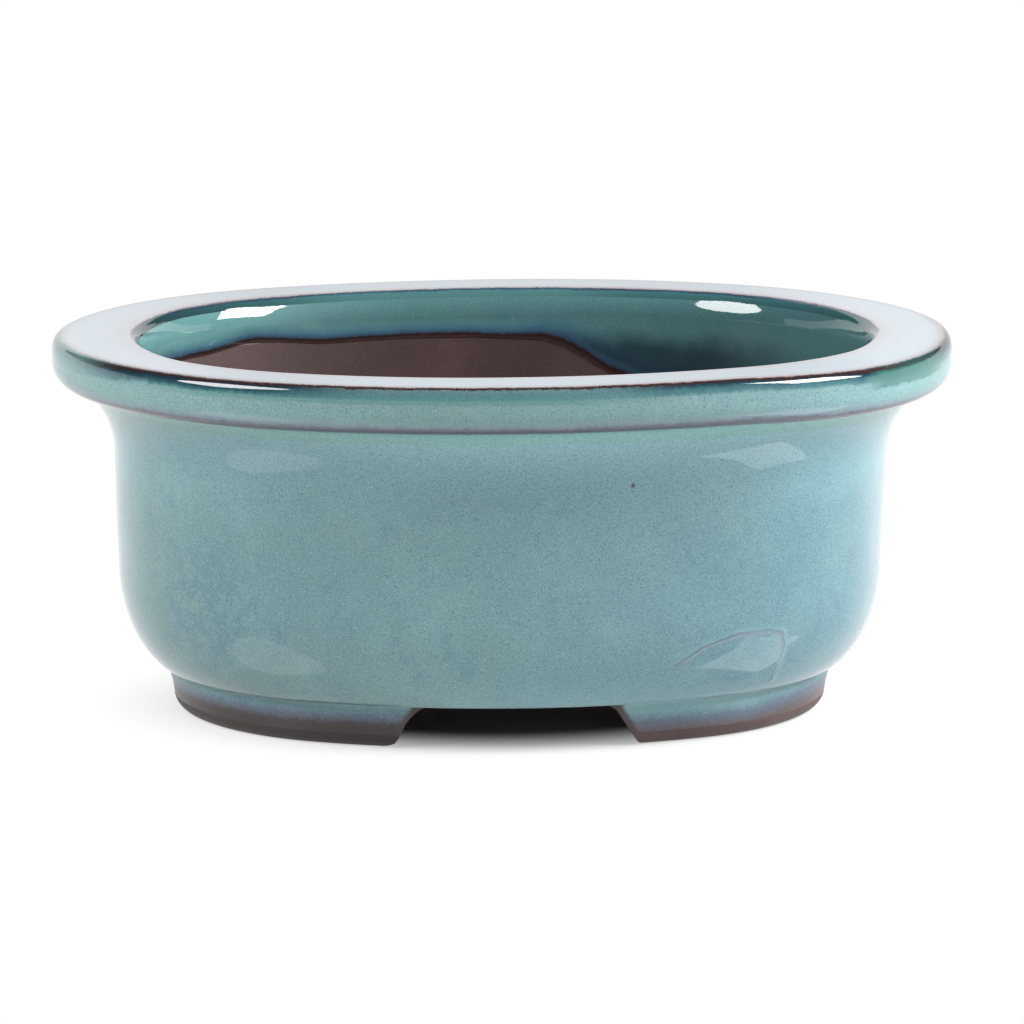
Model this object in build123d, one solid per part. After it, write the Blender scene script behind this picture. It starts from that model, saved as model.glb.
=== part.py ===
from build123d import *
import math
import os

# A deep oval planting pot of fired clay, with a broad flat rim and two C-shaped feet.
# It is glazed outside and a little way down inside, and bare clay elsewhere.
# Millimetres. X runs along the pot, Y across it and Z up. The pot stands on Z = 0.
# An inset is a distance measured inwards from the outermost line of the rim.

# Plan: an oval of four arcs that meet without a corner, two long ones and two at the ends
length = 200.0
depth = 160.0
side_radius = 140.0

# Levels of the whole pot
height = 84.0
foot_height = 9.9
floor_thickness = 5.0

# Thickness of the wall and of the coats of glaze
wall_thickness = 4.4
glaze = 0.6
inner_glaze = 0.5
foot_glaze = 0.5

# Rim
lip_height = 10.7
rim_width = 15.4
rim_top_round = 3.4
rim_bottom_round = 5.1
rim_edge_round = 3.2
throat_inset = 19.3
throat_drop = 7.6
inner_glaze_start = 1.6
inner_glaze_drop = 9.8

# Neck, body and the rounding below it
neck_inset = 14.2
neck_drop = 15.4
flare_radius = 19.5
body_inset = 15.2
rounding_height = 23.1
seam_inset = 24.4
slab_lap = 1.0

# Feet, and the arches that part them at the front and the back
foot_setback = 2.2
foot_taper = 0.4
foot_width = 10.6
foot_edge_round = 3.0
foot_inner_round = 1.0
foot_glaze_drop = 5.4
arch_width = 54.6
arch_lean = 3.8
arch_corner = 2.4

# Drain holes in the floor
drain_diameter = 18.0
drain_spacing = 72.0

# How far a cut runs past the clay that it goes through
overrun = 2.0

# The plan's arcs, worked out
half_length = length / 2
half_depth = depth / 2
side_centre = side_radius - half_depth
arc_excess = depth * side_radius - half_length**2 - half_depth**2
end_radius = arc_excess / (2 * (side_radius - half_length))
end_centre = half_length - end_radius
end_angle = math.degrees(math.atan2(side_centre, end_centre))
side_angle = 180 - 2 * end_angle

# Levels and insets of the clay and the glaze, worked out
floor_level = foot_height + floor_thickness
body_level = foot_height + rounding_height
lip_level = height - lip_height
collar_level = lip_level + glaze
neck_level = lip_level - neck_drop
inner_cover = glaze + wall_thickness
collar_inset = throat_inset - inner_glaze
throat_level = height - throat_drop
throat_reach = throat_inset - rim_width
throat_radius = (throat_reach**2 + throat_drop**2) / (2 * throat_reach)
rounding_reach = seam_inset - body_inset
rounding_radius = (rounding_reach**2 + rounding_height**2) / (2 * rounding_reach)
foot_inset = seam_inset + foot_setback + foot_glaze
foot_lean = foot_taper / foot_height


def spot(inset, level):
    """A point of the upright section, in which the rim's outermost line is at zero."""
    return (-inset, level)


def rounding_inset(level, cover):
    """Inset of the body's lower rounding at a level, under a cover of glaze or clay."""
    drop = body_level - level
    return body_inset + rounding_radius - math.sqrt((rounding_radius - cover) ** 2 - drop**2)


def flare_inset(level, cover):
    """Inset of the neck's outward flare at a level, under a cover of glaze."""
    rise = level - neck_level
    return neck_inset - flare_radius + math.sqrt((flare_radius + cover) ** 2 - rise**2)


def throat_inset_at(level, cover):
    """Inset of the rim's curved inner face at a level, under a cover of glaze."""
    rise = level - throat_level
    return throat_inset - throat_radius + math.sqrt((throat_radius - cover) ** 2 - rise**2)


def arc(inset_at, cover, low_level, high_level):
    """A round stretch of the section between two levels."""
    levels = (low_level, (low_level + high_level) / 2, high_level)
    return ThreePointArc(*[spot(inset_at(level, cover), level) for level in levels])


def body_side(cover, high_level):
    """The body's side from the seam up to the lip, under a cover of glaze."""
    return [
        arc(rounding_inset, cover, foot_height, body_level),
        Line(spot(body_inset + cover, body_level), spot(neck_inset + cover, neck_level)),
        arc(flare_inset, cover, neck_level, high_level),
    ]


def block(inset, level, far_inset, top_level):
    """A rectangle of the section between two insets and two levels."""
    corners = [(inset, level), (far_inset, level), (far_inset, top_level), (inset, top_level)]
    return make_face(Polyline(*[spot(*corner) for corner in corners], close=True))


def rounded(section, inset, level, radius):
    """The section with its corner nearest to a spot rounded off."""
    corner = section.vertices().sort_by_distance(spot(inset, level))[0]
    return fillet(corner, radius)


def rim_outline(cover, inner_cover, low_level):
    """The rim's section under a cover of glaze outside and inside, from a level up."""
    top_level = height - cover
    inner_inset = throat_inset - inner_cover
    edge_inset = throat_inset_at(top_level, inner_cover)
    corners = [
        (inner_inset, throat_level),
        (inner_inset, low_level),
        (cover, low_level),
        (cover, top_level),
        (edge_inset, top_level),
    ]
    flat_sides = Polyline(*[spot(*corner) for corner in corners])
    section = make_face([flat_sides, arc(throat_inset_at, inner_cover, throat_level, top_level)])
    section = rounded(section, cover, low_level, rim_bottom_round - cover)
    section = rounded(section, cover, top_level, rim_top_round - cover)
    return rounded(section, edge_inset, top_level, rim_edge_round - cover)


def ring(section):
    """Carries an upright section once round the four arcs of the plan."""
    at_end = Plane.XZ * Pos(end_radius, 0) * section
    at_side = Plane.XZ * Pos(side_radius, 0) * section
    end = Rot(0, 0, -end_angle) * revolve(at_end, Axis.Z, revolution_arc=2 * end_angle)
    side = Rot(0, 0, end_angle) * revolve(at_side, Axis.Z, revolution_arc=side_angle)
    half = Pos(end_centre, 0) * end + Pos(0, -side_centre) * side
    return half + Rot(0, 0, 180) * half


def oval(inset):
    """The plan drawn in by an inset."""
    end_arc = end_radius - inset
    side_arc = side_radius - inset
    return make_face(
        [
            CenterArc((end_centre, 0), end_arc, -end_angle, 2 * end_angle),
            CenterArc((0, -side_centre), side_arc, end_angle, side_angle),
            CenterArc((-end_centre, 0), end_arc, 180 - end_angle, 2 * end_angle),
            CenterArc((0, side_centre), side_arc, 180 + end_angle, side_angle),
        ]
    )


# Wall: the rounding, the upright side and the neck that flares out to carry the rim
slab_inset = rounding_inset(floor_level, inner_cover) + slab_lap
clay_side = body_side(glaze, collar_level)
wall_inside = [
    Line(clay_side[-1] @ 1, spot(collar_inset, collar_level)),
    Line(spot(collar_inset, collar_level), spot(neck_inset + inner_cover, neck_level)),
    Line(spot(neck_inset + inner_cover, neck_level), spot(body_inset + inner_cover, body_level)),
    arc(rounding_inset, inner_cover, body_level, floor_level),
    Line(spot(slab_inset - slab_lap, floor_level), spot(slab_inset, floor_level)),
    Line(spot(slab_inset, floor_level), spot(slab_inset, foot_height)),
    Line(spot(slab_inset, foot_height), clay_side[0] @ 0),
]
wall_section = make_face(clay_side + wall_inside)
wall = ring(wall_section)

# Glaze on the outside of the wall, from the seam above the feet to the underside of the lip
glazed_side = body_side(0, lip_level)
glaze_ends = [
    Line(glazed_side[0] @ 0, clay_side[0] @ 0),
    Line(glazed_side[-1] @ 1, clay_side[-1] @ 1),
]
body_glaze_section = make_face(glazed_side + glaze_ends + clay_side)
glaze_body = ring(body_glaze_section)

# Rim collar: a clay band laid on top of the wall, flat above, with a curved face inside
collar_section = rim_outline(glaze, inner_glaze, collar_level)
rim_collar = ring(collar_section)

# Glaze inside: the band that runs from the rim's inner edge down to the bare clay
inner_glaze_top = height - inner_glaze_start
inner_glaze_end = height - inner_glaze_drop
glazed_throat, clay_throat = [
    arc(throat_inset_at, cover, throat_level, inner_glaze_top) for cover in (0, inner_glaze)
]
band_foot = Polyline(
    glazed_throat @ 0,
    spot(throat_inset, inner_glaze_end),
    spot(collar_inset, inner_glaze_end),
    clay_throat @ 0,
)
band_top = Line(glazed_throat @ 1, clay_throat @ 1)
inner_glaze_section = make_face([glazed_throat, band_foot, clay_throat, band_top])
glaze_inside = ring(inner_glaze_section)

# Glaze on the rim: under the lip, round its edge, over the top and round the inner edge
below_band = block(collar_inset, lip_level, throat_inset, inner_glaze_end)
rim_glaze_section = rim_outline(0, 0, lip_level)
for covered in (collar_section, wall_section, body_glaze_section, inner_glaze_section, below_band):
    rim_glaze_section = rim_glaze_section - covered
glaze_rim = ring(rim_glaze_section)

# Floor: a flat clay slab inside the foot of the wall, with two round drain holes
floor_slab = Pos(0, 0, foot_height) * extrude(oval(slab_inset), floor_thickness)
for side in (-1, 1):
    hole = Cylinder(drain_diameter / 2, floor_thickness + 2 * overrun)
    floor_slab -= Pos(side * drain_spacing / 2, 0, foot_height + floor_thickness / 2) * hole

# Feet: one low ring, rounded where it meets the ground, cut by an arch through both sides
foot_inner_inset = foot_inset + foot_width
foot_base_inset = foot_inset + foot_taper
foot_section = make_face(
    Polyline(
        spot(foot_inset, foot_height),
        spot(foot_inner_inset, foot_height),
        spot(foot_inner_inset, 0),
        spot(foot_base_inset, 0),
        close=True,
    )
)
foot_section = rounded(foot_section, foot_base_inset, 0, foot_edge_round)
foot_section = rounded(foot_section, foot_inner_inset, 0, foot_inner_round)

# The arch's outline: leaning sides, and corners cut across where they meet the body above
arch_foot = arch_width / 2
arch_knee = arch_foot - arch_lean
arch_knee_level = foot_height - arch_corner
arch_spread = arch_lean * overrun / arch_knee_level
arch_top = arch_knee - arch_corner - overrun
arch_right = [
    (arch_foot + arch_spread, -overrun),
    (arch_knee, arch_knee_level),
    (arch_top, foot_height + overrun),
]
arch_left = [(-reach, level) for reach, level in reversed(arch_right)]
arch_outline = make_face(Polyline(*arch_right, *arch_left, close=True))
arch = extrude(Plane.XZ * arch_outline, depth / 2, both=True)

foot_left, foot_right = (ring(foot_section) - arch).solids().sort_by(Axis.X)

# Glaze on the feet: a coat on the upper part of the ring's outer face
foot_glaze_lean = foot_lean * foot_glaze_drop
foot_glaze_level = foot_height - foot_glaze_drop
foot_glaze_section = make_face(
    Polyline(
        spot(foot_inset - foot_glaze, foot_height),
        spot(foot_inset, foot_height),
        spot(foot_inset + foot_glaze_lean, foot_glaze_level),
        spot(foot_inset + foot_glaze_lean - foot_glaze, foot_glaze_level),
        close=True,
    )
)
glaze_foot_left, glaze_foot_right = (ring(foot_glaze_section) - arch).solids().sort_by(Axis.X)

parts = {
    "floor_slab": floor_slab,
    "wall": wall,
    "rim_collar": rim_collar,
    "foot_left": foot_left,
    "foot_right": foot_right,
    "glaze_body": glaze_body,
    "glaze_rim": glaze_rim,
    "glaze_inside": glaze_inside,
    "glaze_foot_left": glaze_foot_left,
    "glaze_foot_right": glaze_foot_right,
}

os.makedirs("parts", exist_ok=True)
for name, shape in parts.items():
    export_step(shape, f"parts/{name}.step")
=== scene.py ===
import math

import bpy
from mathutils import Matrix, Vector


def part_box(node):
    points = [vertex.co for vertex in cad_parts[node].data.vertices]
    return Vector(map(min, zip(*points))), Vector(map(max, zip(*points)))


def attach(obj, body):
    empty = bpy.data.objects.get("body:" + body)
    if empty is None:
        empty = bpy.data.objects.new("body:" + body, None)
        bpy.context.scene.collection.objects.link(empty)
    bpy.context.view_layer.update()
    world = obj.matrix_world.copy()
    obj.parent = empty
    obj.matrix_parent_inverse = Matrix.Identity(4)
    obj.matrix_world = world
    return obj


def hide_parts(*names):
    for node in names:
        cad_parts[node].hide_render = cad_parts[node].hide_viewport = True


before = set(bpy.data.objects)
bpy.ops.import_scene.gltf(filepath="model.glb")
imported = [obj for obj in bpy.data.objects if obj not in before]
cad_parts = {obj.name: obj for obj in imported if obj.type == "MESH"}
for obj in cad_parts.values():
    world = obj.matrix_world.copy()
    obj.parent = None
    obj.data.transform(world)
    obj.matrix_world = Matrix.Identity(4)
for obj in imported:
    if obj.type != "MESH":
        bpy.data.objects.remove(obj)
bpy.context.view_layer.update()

# ----------------------------------------------------------
# The camera: a long lens, a little above the rim and a little to the pot's left.
scene = bpy.context.scene
scene.view_settings.view_transform = "Standard"
lens = 208.0
camera_place = (-0.0659, -1.2979, 0.2858)
camera_tilt = math.radians(79.4)
camera_turn = math.radians(-3.0)
bpy.ops.object.select_all(action="DESELECT")
bpy.ops.object.camera_add(location=camera_place, rotation=(camera_tilt, 0, camera_turn))
camera = bpy.context.object
camera.data.lens = lens
camera.data.clip_end = 20
scene.camera = camera

# ----------------------------------------------------------
# The studio table: a sheet of white acrylic. Close to the pot it is lit by the lamps and
# keeps its shadow, further out it goes over into the white of the background, and in the
# glaze it is mirrored white, with the lamps mirrored softly in it.
table_radius = 6.0
table_white = (0.80, 0.80, 0.80, 1)
# Close to the pot the table's colour is a greyer white: painted shade on top of its real shadow
near_shade_grey = (0.71, 0.715, 0.73, 1)
mirror_grey = (0.052, 0.052, 0.052, 1)
# The shadow fades out between its start and its end, in sizes of the feet's oval
foot_half_length, foot_half_depth = 0.071, 0.051
shadow_start, shadow_end = 0.66, 1.34


def add_node(tree, kind, settings=None, **inputs):
    """Adds a shader node with its settings and inputs. An input is a value or a socket, and
    goes by its label or, after an underscore, by its number."""
    made = tree.nodes.new(kind)
    for name, value in (settings or {}).items():
        setattr(made, name, value)
    for name, value in inputs.items():
        key = int(name[1:]) if name[0] == "_" else name.replace("_", " ")
        socket = made.inputs[key]
        if isinstance(value, bpy.types.NodeSocket):
            tree.links.new(value, socket)
        else:
            socket.default_value = value
    return made


def calc(tree, what, *values):
    """One step of arithmetic between sockets and numbers."""
    inputs = {f"_{n}": value for n, value in enumerate(values)}
    return add_node(tree, "ShaderNodeMath", {"operation": what}, **inputs).outputs[0]


def soft_step(tree, value, low, high, start=0.0, end=1.0):
    """Goes smoothly from start to end while the value goes from low to high."""
    settings = {"interpolation_type": "SMOOTHSTEP"}
    inputs = {"_0": value, "_1": low, "_2": high, "_3": start, "_4": end}
    return add_node(tree, "ShaderNodeMapRange", settings, **inputs).outputs[0]


def new_material(name):
    """An empty material, its nodes and its output."""
    material = bpy.data.materials.new(name)
    material.use_nodes = True
    material.node_tree.nodes.clear()
    output = material.node_tree.nodes.new("ShaderNodeOutputMaterial")
    return material, material.node_tree, output


def ray_is(tree, *kinds):
    """One where the ray is of one of the kinds, and nought elsewhere."""
    path = tree.nodes.new("ShaderNodeLightPath")
    total = path.outputs[kinds[0]]
    for kind in kinds[1:]:
        total = calc(tree, "MAXIMUM", total, path.outputs[kind])
    return total


bpy.ops.object.select_all(action="DESELECT")
bpy.ops.mesh.primitive_circle_add(vertices=96, radius=table_radius, fill_type="NGON")
table = bpy.context.object
table.name = "studio_table"
material, tree, output = new_material("white_acrylic")
place = tree.nodes.new("ShaderNodeTexCoord").outputs["Object"]
footprint = (1 / foot_half_length, 1 / foot_half_depth, 1)
scaled = add_node(tree, "ShaderNodeVectorMath", {"operation": "MULTIPLY"}, _0=place, _1=footprint)
away = add_node(tree, "ShaderNodeVectorMath", {"operation": "LENGTH"}, _0=scaled.outputs[0])
white = add_node(tree, "ShaderNodeEmission", Color=(1, 1, 1, 1), Strength=1.0)
matt = add_node(tree, "ShaderNodeBsdfDiffuse", Color=table_white)
cover = soft_step(tree, away.outputs["Value"], shadow_start, shadow_end)
close = add_node(tree, "ShaderNodeBsdfDiffuse", Color=near_shade_grey)
lit = add_node(tree, "ShaderNodeMixShader", _0=cover, _1=close.outputs[0], _2=white.outputs[0])
gloss = add_node(tree, "ShaderNodeBsdfAnisotropic", Color=mirror_grey, Roughness=0.03)
mirrored = add_node(tree, "ShaderNodeAddShader", _0=lit.outputs[0], _1=gloss.outputs[0])
shown = add_node(tree, "ShaderNodeMixShader", _0=ray_is(tree, "Is Glossy Ray"),
                 _1=lit.outputs[0], _2=mirrored.outputs[0])
seen = ray_is(tree, "Is Camera Ray", "Is Glossy Ray", "Is Transmission Ray")
sheet = add_node(tree, "ShaderNodeMixShader", _0=seen, _1=matt.outputs[0], _2=shown.outputs[0])
tree.links.new(sheet.outputs[0], output.inputs["Surface"])
table.data.materials.append(material)

# ----------------------------------------------------------
# The studio: a white sweep behind the table, and on the camera's side a dark room with a
# dark ceiling, which the camera itself doesn't see. Behind the pot the room is open: low
# down over its whole width, higher up only in the middle. Two soft lamps hang in it, a
# square one on the right and a round one on the left.
room_radius = 3.4
room_height = 3.8
room_sunk = 0.2
room_grey = (0.02, 0.02, 0.022, 1)
opening_height = 0.95
opening_half_width = 1.25
lamp_distance = 0.75
aim = Vector((0, 0, 0.045))

world = bpy.data.worlds.new("white_sweep")
scene.world = world
world.use_nodes = True
tree = world.node_tree
tree.nodes.clear()
output = tree.nodes.new("ShaderNodeOutputWorld")
seen = ray_is(tree, "Is Camera Ray", "Is Glossy Ray", "Is Transmission Ray")
glow = add_node(tree, "ShaderNodeBackground", Color=(1, 1, 1, 1), Strength=0.95)
background = add_node(tree, "ShaderNodeBackground", Color=(1, 1, 1, 1), Strength=1.0)
mixed = add_node(tree, "ShaderNodeMixShader", _0=seen, _1=glow.outputs[0],
                 _2=background.outputs[0])
tree.links.new(mixed.outputs[0], output.inputs["Surface"])

bpy.ops.object.select_all(action="DESELECT")
bpy.ops.mesh.primitive_cylinder_add(vertices=96, radius=room_radius, depth=room_height,
                                    location=(0, 0, room_height / 2 - room_sunk))
room = bpy.context.object
room.name = "dark_room"
bpy.ops.object.transform_apply(location=True)
bpy.ops.object.mode_set(mode="EDIT")
bpy.ops.mesh.select_all(action="SELECT")
bpy.ops.mesh.bisect(plane_co=(0, 0, opening_height), plane_no=(0, 0, 1))
bpy.ops.mesh.select_all(action="DESELECT")
bpy.ops.object.mode_set(mode="OBJECT")
# The room's floor and the open stretches of its wall are taken out
for face in room.data.polygons:
    x, y, z = face.center
    open_half = y > 0 and (z < opening_height or abs(x) < opening_half_width)
    face.select = face.normal.z < -0.5 or (abs(face.normal.z) < 0.5 and open_half)
bpy.ops.object.mode_set(mode="EDIT")
bpy.ops.mesh.select_mode(type="FACE")
bpy.ops.mesh.delete(type="FACE")
bpy.ops.mesh.select_mode(type="VERT")
bpy.ops.object.mode_set(mode="OBJECT")
material, tree, output = new_material("dark_cloth")
cloth = add_node(tree, "ShaderNodeBsdfDiffuse", Color=room_grey)
tree.links.new(cloth.outputs[0], output.inputs["Surface"])
room.data.materials.append(material)
room.visible_camera = False
room.visible_shadow = False


def hang_lamp(name, shape, azimuth, elevation, wide, tall, power):
    """A soft lamp that looks at the pot from a direction, an azimuth of 0 being the front.
    Its width and height are angles as seen from the pot."""
    turn, rise = math.radians(azimuth), math.radians(elevation)
    out, up = math.cos(rise), math.sin(rise)
    way = Vector((math.sin(turn) * out, -math.cos(turn) * out, up))
    bpy.ops.object.light_add(type="AREA", location=aim + way * lamp_distance)
    lamp = bpy.context.object
    lamp.name = name
    lamp.rotation_euler = way.to_track_quat("Z", "Y").to_euler()
    lamp.data.shape = shape
    lamp.data.size = 2 * lamp_distance * math.tan(math.radians(wide / 2))
    lamp.data.size_y = 2 * lamp_distance * math.tan(math.radians(tall / 2))
    lamp.data.energy = power
    lamp.visible_camera = False


hang_lamp("square_lamp", "RECTANGLE", azimuth=75, elevation=36.5, wide=28, tall=23, power=10.6)
hang_lamp("round_lamp", "ELLIPSE", azimuth=-65, elevation=38, wide=30, tall=30, power=5.9)

# ----------------------------------------------------------
# Floor slab: flat stoneware clay rolled out and cut to the oval, with two drain holes.
# The wall stands round it, joined wet, and its edge is hidden in that join.
mm = 0.001
# The oval's four arcs, in millimetres, and the number of steps in each
end_centre, end_radius = 25.0, 75.0
side_centre, side_radius = 60.0, 140.0
end_angle = math.degrees(math.atan2(side_centre, end_centre))
side_angle = 180 - 2 * end_angle
end_steps, side_steps = 88, 54
# All pieces are drawn this much smaller, which leaves room for the pot's unevenness
shrunk = 0.065
# Points closer than the weld become one, and edges up to the angle are shaded smooth
weld = 0.01
smooth_angle = 35
# Unevenness: the body's lean to the left, how much narrower the opening's ends are, the
# lip's lift at the left and sag at the right, and the rim's drop at the left
lean = 0.62
throat_left, throat_right = 2.2, 1.2
lip_lift, lip_sag, rim_drop = 0.15, 0.9, 0.42
# The lip's inner end, and the level below which the opening's inner face is upright
lip_reach = 15
throat_level = 77.4


def start_piece(name):
    """A new mesh at the world's origin, open for editing, shrunk to one point."""
    bpy.ops.object.select_all(action="DESELECT")
    bpy.ops.mesh.primitive_plane_add(size=mm)
    piece = bpy.context.object
    piece.name = name
    piece.data.name = name
    bpy.ops.object.mode_set(mode="EDIT")
    bpy.ops.mesh.select_all(action="SELECT")
    bpy.ops.mesh.merge(type="CENTER")
    return piece


def section_place(inset, level):
    """Where a spot of the upright section stands at the plan's front right join."""
    turn = math.radians(-end_angle)
    reach = end_radius - shrunk - inset
    return Vector((end_centre + reach * math.cos(turn), reach * math.sin(turn), level)) * mm


def draw_round(places):
    """Draws a closed line with the piece's one point, carried from place to place."""
    bpy.ops.transform.translate(value=places[0])
    for here, there in zip(places, places[1:] + places[:1]):
        bpy.ops.mesh.extrude_region_move(TRANSFORM_OT_translate={"value": there - here})


def draw_section(spots):
    """Draws the closed upright section through spots of inset and level."""
    draw_round([section_place(*spot) for spot in spots])


def close_piece():
    """Turns all faces of the drawn piece outwards and ends its editing."""
    bpy.ops.mesh.select_all(action="SELECT")
    bpy.ops.mesh.normals_make_consistent(inside=False)
    bpy.ops.object.mode_set(mode="OBJECT")


def spin_round_plan():
    """Carries the drawn section round one end and one side, and copies them turned round."""
    bpy.ops.mesh.select_all(action="SELECT")
    for steps, angle, x, y in (
        (end_steps, 2 * end_angle, end_centre, 0),
        (side_steps, side_angle, 0, -side_centre),
    ):
        bpy.ops.mesh.spin(steps=steps, angle=-math.radians(angle), center=(x * mm, y * mm, 0),
                          axis=(0, 0, 1))
    bpy.ops.mesh.select_all(action="SELECT")
    bpy.ops.mesh.duplicate()
    bpy.ops.transform.rotate(value=math.pi, orient_axis="Z", center_override=(0, 0, 0))
    bpy.ops.mesh.select_all(action="SELECT")
    bpy.ops.mesh.remove_doubles(threshold=weld * mm)
    close_piece()


def smooth_between(value, low, high):
    """Goes smoothly from nought to one while the value goes from low to high."""
    part = min(1.0, max(0.0, (value - low) / (high - low)))
    return part * part * (3 - 2 * part)


def plan_inset(place):
    """How far inside the rim's outermost line a place lies, in millimetres."""
    x, y = abs(place.x) / mm, abs(place.y) / mm
    if x * side_centre > end_centre * (y + side_centre):
        return end_radius - shrunk - math.hypot(x - end_centre, y)
    return side_radius - shrunk - math.hypot(x, y + side_centre)


def settle(piece):
    """Gives the piece the pot's hand-made unevenness: its faces wander a little, its body
    leans to the left, its opening is narrower at the ends, its rim is lower on the left, and
    its lip hangs lower at the near right."""
    names = ("off_ground", "below_rim", "throat_left", "throat_right", "lip_left", "lip_right",
             "rim_left")
    groups = [piece.vertex_groups.new(name=name) for name in names]
    for point in piece.data.vertices:
        x, level, inset = point.co.x / mm, point.co.z / mm, plan_inset(point.co)
        inside = (smooth_between(inset, 9, 15) if level > throat_level
                  else smooth_between(inset, 16.5, 18.3) * smooth_between(level, 45, 70))
        # The lip's face and underside all round, and on the near side also its top
        near_edge = smooth_between(inset, 13, 3) * smooth_between(point.co.y / mm, 20, -35)
        lip = max(smooth_between(level, 83, 78.5), near_edge)
        lip *= smooth_between(level, 62, 72) * (inset < lip_reach)
        weights = (
            smooth_between(level, 0.5, 9),
            smooth_between(level, 78, 36),
            inside * smooth_between(x, -70, -85),
            inside * smooth_between(x, 73, 85),
            lip * smooth_between(x, -50, -88),
            lip * smooth_between(x, 42, 84),
            smooth_between(level, 55, 74) * smooth_between(x, 45, -55),
        )
        for group, weight in zip(groups, weights):
            if weight:
                group.add([point.index], weight, "REPLACE")
    # Axis, cloudy pattern and its size in metres, how far the points move in millimetres,
    # the pattern's value at which they stay, and which points move
    for axis, pattern, size, move, rest, group in (
        ("X", "uneven_along", 0.055, 0.5, 0.5, "off_ground"),
        ("Y", "uneven_across", 0.070, 0.5, 0.5, "off_ground"),
        ("Z", "uneven_height", 0.060, 0.2, 0.75, "off_ground"),
        ("X", None, 1.0, -lean, 0.0, "below_rim"),
        ("X", None, 1.0, throat_left, 0.0, "throat_left"),
        ("X", None, 1.0, -throat_right, 0.0, "throat_right"),
        ("Z", None, 1.0, lip_lift, 0.0, "lip_left"),
        ("Z", None, 1.0, -lip_sag, 0.0, "lip_right"),
        ("Z", None, 1.0, -rim_drop, 0.0, "rim_left"),
    ):
        shift = piece.modifiers.new("settled", "DISPLACE")
        if pattern:
            texture = bpy.data.textures.get(pattern) or bpy.data.textures.new(pattern, "CLOUDS")
            texture.noise_scale = size
            texture.noise_depth = 1
            shift.texture = texture
            shift.texture_coords = "LOCAL"
        shift.direction = axis
        shift.strength = move * mm
        shift.mid_level = rest
        shift.vertex_group = group
        bpy.context.view_layer.objects.active = piece
        bpy.ops.object.modifier_apply(modifier=shift.name)
    piece.vertex_groups.clear()


def finish_piece(piece, node, material):
    """Smooths the piece, gives it its finish and puts it in place of its CAD node."""
    bpy.ops.object.select_all(action="DESELECT")
    piece.select_set(True)
    bpy.context.view_layer.objects.active = piece
    bpy.ops.object.shade_smooth_by_angle(angle=math.radians(smooth_angle))
    piece.data.materials.clear()
    piece.data.materials.append(material)
    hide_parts(node)
    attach(piece, "root")


def pot_place(tree):
    """Sockets of the place on the pot, in metres, and of its X, Y and Z."""
    place = tree.nodes.new("ShaderNodeTexCoord").outputs["Object"]
    split = add_node(tree, "ShaderNodeSeparateXYZ", _0=place)
    return place, split.outputs["X"], split.outputs["Y"], split.outputs["Z"]


def noise(tree, place, scale, detail=2.0, rough=0.5):
    """A noise round one half whose grains are about 1 / scale metres wide."""
    made = add_node(tree, "ShaderNodeTexNoise", Vector=place, Scale=scale, Detail=detail,
                    Roughness=rough)
    return made.outputs["Fac"]


def blend_colour(tree, amount, low, high):
    """The low colour where the amount is nought and the high colour where it is one."""
    made = add_node(tree, "ShaderNodeMix", {"data_type": "RGBA"}, _0=amount, _6=low, _7=high)
    return made.outputs[2]


clay_brown, clay_bloom = (0.060, 0.032, 0.031, 1), (0.086, 0.049, 0.049, 1)
clay_lit_pale, clay_inside_shade = (0.150, 0.094, 0.098, 1), (0.038, 0.019, 0.019, 1)
left_foot_shade = (0.022, 0.014, 0.012, 1)
clay_dark_grain, clay_pale_grain = (0.026, 0.013, 0.011, 1), (0.18, 0.13, 0.12, 1)


def clay_finish():
    """Bare iron-brown stoneware, matt, with fine grog and a faint bloom. Inside, painted shade
    makes it darker and at the left painted light paler; painted shade darkens the left foot."""
    material, tree, output = new_material("bare_clay")
    place, across, _, upward = pot_place(tree)
    bloom = soft_step(tree, noise(tree, place, 45, 3, 0.6), 0.35, 0.7)
    colour = blend_colour(tree, bloom, clay_brown, clay_bloom)
    # Painted light: inside, at the left where the lamp light falls, the clay is painted paler
    painted_light_left = calc(tree, "MULTIPLY", soft_step(tree, across, -0.020, -0.078, 0.0, 0.75),
                 soft_step(tree, upward, 0.030, 0.045))
    colour = blend_colour(tree, painted_light_left, colour, clay_lit_pale)
    # Painted shade: higher up, where the clay is inside the pot, it is painted darker
    deep = soft_step(tree, upward, 0.020, 0.035, 0.0, 0.35)
    colour = blend_colour(tree, deep, colour, clay_inside_shade)
    # Painted shade: the left foot, on the less lit side, is painted darker
    painted_left_shade = calc(tree, "MULTIPLY", soft_step(tree, across, 0.010, -0.010, 0.0, 0.88),
                 soft_step(tree, upward, 0.013, 0.0095))
    colour = blend_colour(tree, painted_left_shade, colour, left_foot_shade)
    grain = noise(tree, place, 2600, 3, 0.7)
    dark = soft_step(tree, grain, 0.52, 0.68, 0.0, 0.5)
    colour = blend_colour(tree, dark, colour, clay_dark_grain)
    pale = soft_step(tree, noise(tree, place, 2100, 1, 0.5), 0.68, 0.78, 0.0, 0.25)
    colour = blend_colour(tree, pale, colour, clay_pale_grain)
    bump = add_node(tree, "ShaderNodeBump", Strength=0.4, Distance=0.0002, Height=grain)
    shade = add_node(tree, "ShaderNodeBsdfPrincipled", _0=colour, Roughness=0.55,
                     Normal=bump.outputs[0])
    tree.links.new(shade.outputs[0], output.inputs["Surface"])
    return material


bare_clay = clay_finish()
slab_low, slab_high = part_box("floor_slab")
slab_inset = end_centre + end_radius - slab_high.x / mm
hole_radius = 9.0
hole_place = 36.0
punch_level, punch_length = 12.0, 30.0

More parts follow.
